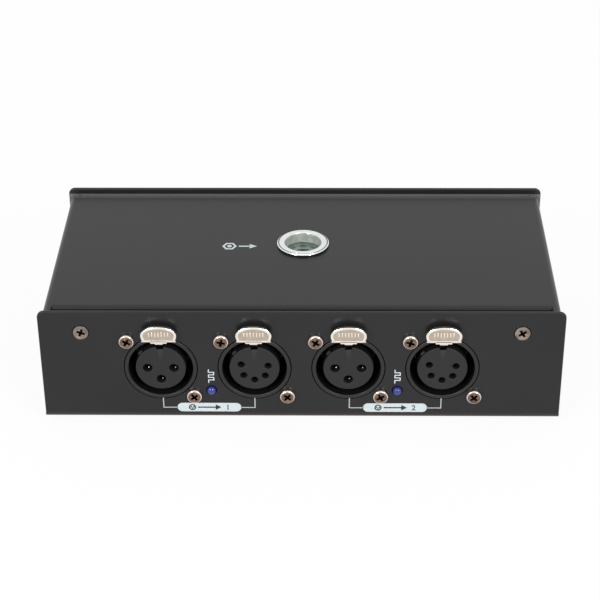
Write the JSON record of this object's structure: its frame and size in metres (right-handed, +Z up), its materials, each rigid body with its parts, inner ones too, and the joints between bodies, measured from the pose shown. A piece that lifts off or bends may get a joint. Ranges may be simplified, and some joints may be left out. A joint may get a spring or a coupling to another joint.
{
  "type": "dmx splitter",
  "caption": "Low folded-steel stage lighting data splitter: paired 3 and 5 pole output sockets with press latches in front, inputs and mains inlet behind, clamp nut on top.",
  "frame": {"origin": "on the bench under the middle of the case, at the undersides of the feet", "axes": "+X to the right along the front panel, +Y from the front panel to the rear panel, +Z up"},
  "size_m": [0.15, 0.0801, 0.0384],
  "materials": {
    "steel_black": "satin black paint with a faint orange peel",
    "moulded_black": "fine moulded grain",
    "insert_black": "smooth moulded",
    "zinc": "bright zinc plate",
    "nickel": "warm satin nickel, tumbled",
    "screw_nickel": "bright nickel",
    "dark_screw": "dark nickel",
    "lamp_blue": "clear tinted resin",
    "rubber": "matt",
    "board_green": "solder mask",
    "tin": "tinned",
    "ferrite": "matt",
    "fuse_glass": "clear tube with plated ends"
  },
  "bodies": {
    "splitter": {"chassis": "steel_black", "cover": "steel_black", "rivet_nut": "zinc", "foot_front_left": "rubber", "foot_front_right": "rubber", "foot_rear_left": "rubber", "foot_rear_right": "rubber", "cover_screw_front_left": "dark_screw", "cover_screw_front_right": "dark_screw", "cover_screw_rear_left": "dark_screw", "cover_screw_rear_right": "dark_screw", "output_1_3pole_housing": "moulded_black", "output_1_3pole_insert": "insert_black", "output_1_3pole_latch_pin": "tin", "output_1_3pole_screw_upper": "screw_nickel", "output_1_3pole_screw_lower": "screw_nickel", "output_1_5pole_housing": "moulded_black", "output_1_5pole_insert": "insert_black", "output_1_5pole_latch_pin": "tin", "output_1_5pole_screw_upper": "screw_nickel", "output_1_5pole_screw_lower": "screw_nickel", "output_2_3pole_housing": "moulded_black", "output_2_3pole_insert": "insert_black", "output_2_3pole_latch_pin": "tin", "output_2_3pole_screw_upper": "screw_nickel", "output_2_3pole_screw_lower": "screw_nickel", "output_2_5pole_housing": "moulded_black", "output_2_5pole_insert": "insert_black", "output_2_5pole_latch_pin": "tin", "output_2_5pole_screw_upper": "screw_nickel", "output_2_5pole_screw_lower": "screw_nickel", "status_lamp_1": "lamp_blue", "status_lamp_2": "lamp_blue", "input_3pole_housing": "moulded_black", "input_3pole_insert": "insert_black", "input_3pole_screw_upper": "screw_nickel", "input_3pole_screw_lower": "screw_nickel", "input_5pole_housing": "moulded_black", "input_5pole_insert": "insert_black", "input_5pole_screw_upper": "screw_nickel", "input_5pole_screw_lower": "screw_nickel", "inlet_housing": "moulded_black", "inlet_blade_left": "tin", "inlet_blade_right": "tin", "inlet_blade_earth": "tin", "inlet_screw_1": "dark_screw", "inlet_screw_2": "dark_screw", "circuit_board": "board_green", "supply_transformer": "ferrite", "smoothing_capacitor": "ferrite", "line_driver_1": "moulded_black", "line_driver_2": "moulded_black", "board_screw_1": "tin", "board_screw_2": "tin"},
    "latch_1_3pole": {"output_1_3pole_latch": "nickel"},
    "latch_1_5pole": {"output_1_5pole_latch": "nickel"},
    "latch_2_3pole": {"output_2_3pole_latch": "nickel"},
    "latch_2_5pole": {"output_2_5pole_latch": "nickel"},
    "drawer": {"fuse_drawer": "moulded_black", "fuse": "fuse_glass"}
  },
  "joints": [
    {"name": "latch_1_3pole_press", "type": "hinge", "parent": "splitter", "child": "latch_1_3pole", "pos_m": [-0.0405, -0.0345, 0.03185], "axis": [-1, 0, 0], "range_deg": [0, 10], "stiffness_Nm_per_rad": 0.06, "springref_deg": -5.73},
    {"name": "latch_1_5pole_press", "type": "hinge", "parent": "splitter", "child": "latch_1_5pole", "pos_m": [-0.0135, -0.0345, 0.03185], "axis": [-1, 0, 0], "range_deg": [0, 10], "stiffness_Nm_per_rad": 0.06, "springref_deg": -5.73},
    {"name": "latch_2_3pole_press", "type": "hinge", "parent": "splitter", "child": "latch_2_3pole", "pos_m": [0.0135, -0.0345, 0.03185], "axis": [-1, 0, 0], "range_deg": [0, 10], "stiffness_Nm_per_rad": 0.06, "springref_deg": -5.73},
    {"name": "latch_2_5pole_press", "type": "hinge", "parent": "splitter", "child": "latch_2_5pole", "pos_m": [0.0405, -0.0345, 0.03185], "axis": [-1, 0, 0], "range_deg": [0, 10], "stiffness_Nm_per_rad": 0.06, "springref_deg": -5.73},
    {"name": "fuse_drawer_slide", "type": "slide", "parent": "splitter", "child": "drawer", "axis": [0, 1, 0], "range_m": [0, 0.016]}
  ]
}
